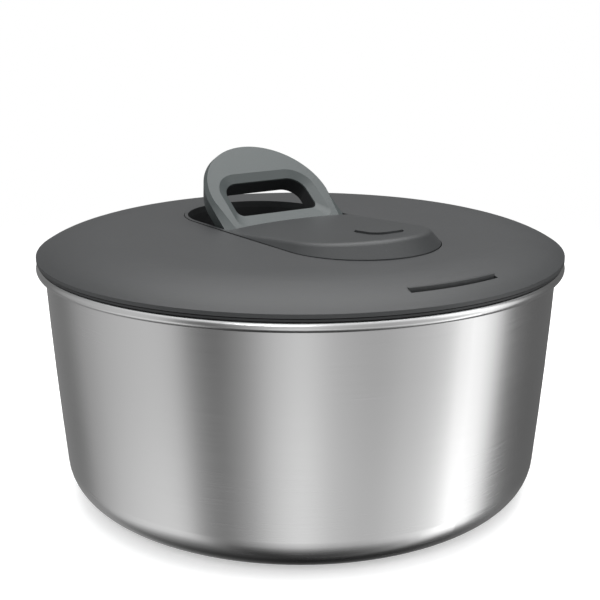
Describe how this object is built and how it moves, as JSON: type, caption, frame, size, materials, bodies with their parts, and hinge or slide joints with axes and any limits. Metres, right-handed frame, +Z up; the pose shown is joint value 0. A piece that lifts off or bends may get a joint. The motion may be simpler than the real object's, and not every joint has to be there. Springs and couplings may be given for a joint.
{
  "type": "salad spinner",
  "caption": "Round steel salad spinner with a slotted basket, a domed plastic lid, a fold-down pump lever with a finger opening and a brake button.",
  "frame": {"origin": "centre of the underside of the base ring", "axes": "+Z up through the spin axis, +X from the lever towards the brake button, +Y along the lever hinge pin"},
  "size_m": [0.2606, 0.2606, 0.1658],
  "materials": {
    "bowl_steel": "satin brushed",
    "lid_plastic": "satin",
    "lever_plastic": "satin",
    "lever_core_plastic": "matte",
    "inner_plastic": "matte",
    "foot_rubber": "matte",
    "seal_rubber": "matte",
    "basket_plastic": "semi gloss",
    "disc_plastic": "semi gloss",
    "gear_plastic": "smooth",
    "pin_steel": "ground",
    "spring_steel": "drawn wire",
    "screw_steel": "zinc plated"
  },
  "bodies": {
    "bowl": {"bowl": "bowl_steel", "base_ring": "foot_rubber", "pivot_stud": "pin_steel"},
    "basket": {"basket": "basket_plastic", "basket_bush": "gear_plastic"},
    "lid": {"lid_shell": "lid_plastic", "lid_underside": "inner_plastic", "lid_seal": "seal_rubber", "lid_screws": "screw_steel", "top_cover": "lid_plastic", "lever_well": "inner_plastic", "mechanism_chassis": "inner_plastic", "chassis_screws": "screw_steel", "hinge_pin": "pin_steel", "main_axle": "pin_steel", "axle_clip": "spring_steel", "gear_axle": "pin_steel", "output_bush": "gear_plastic", "rack_guide": "inner_plastic", "lever_spring": "spring_steel", "button_spring": "spring_steel"},
    "lever": {"lever_shell": "lever_plastic", "lever_core": "lever_core_plastic", "lever_screws": "screw_steel"},
    "rack": {"rack": "gear_plastic"},
    "compound_gear": {"compound_gear": "gear_plastic"},
    "clutch": {"clutch_gear": "gear_plastic", "clutch_rollers": "pin_steel", "roller_springs": "spring_steel"},
    "drive": {"clutch_drum": "gear_plastic", "drive_disc": "disc_plastic"},
    "button": {"brake_button": "lid_plastic", "brake_stem": "gear_plastic", "brake_pad": "foot_rubber"}
  },
  "joints": [
    {"name": "lid_lift", "type": "slide", "parent": "bowl", "child": "lid", "axis": [0, 0, 1], "range_m": [0, 0.04]},
    {"name": "basket_spin", "type": "hinge", "parent": "bowl", "child": "basket", "pos_m": [0, 0, 0.012], "axis": [0, 0, 1], "continuous": true},
    {"name": "drive_spin", "type": "hinge", "parent": "lid", "child": "drive", "pos_m": [0, 0, 0.1], "axis": [0, 0, 1], "continuous": true},
    {"name": "lever_press", "type": "hinge", "parent": "lid", "child": "lever", "pos_m": [-0.015, 0, 0.118], "axis": [0, -1, 0], "range_deg": [0, 37.5], "stiffness_Nm_per_rad": 0.25, "springref_deg": -34.38},
    {"name": "rack_slide", "type": "slide", "parent": "lid", "child": "rack", "axis": [1, 0, 0], "range_m": [0, 0.0066]},
    {"name": "compound_gear_spin", "type": "hinge", "parent": "lid", "child": "compound_gear", "pos_m": [0.018, -0.01876, 0.108], "axis": [0, 0, 1], "range_deg": [0, 62.7]},
    {"name": "clutch_spin", "type": "hinge", "parent": "lid", "child": "clutch", "pos_m": [0, 0, 0.108], "axis": [0, 0, 1], "range_deg": [-208.8, 0]},
    {"name": "brake_press", "type": "slide", "parent": "lid", "child": "button", "axis": [0, 0, -1], "range_m": [0, 0.0025], "stiffness_N_per_m": 400, "springref_m": -0.003, "deforming": ["button_spring"]}
  ],
  "couplings": [
    {"joint": "drive_spin", "follows": "basket_spin", "ratio": 1},
    {"joint": "rack_slide", "follows": "lever_press", "m_per_rad": 0.01},
    {"joint": "compound_gear_spin", "follows": "lever_press", "ratio": 1.6667},
    {"joint": "clutch_spin", "follows": "lever_press", "ratio": -5.5556}
  ]
}
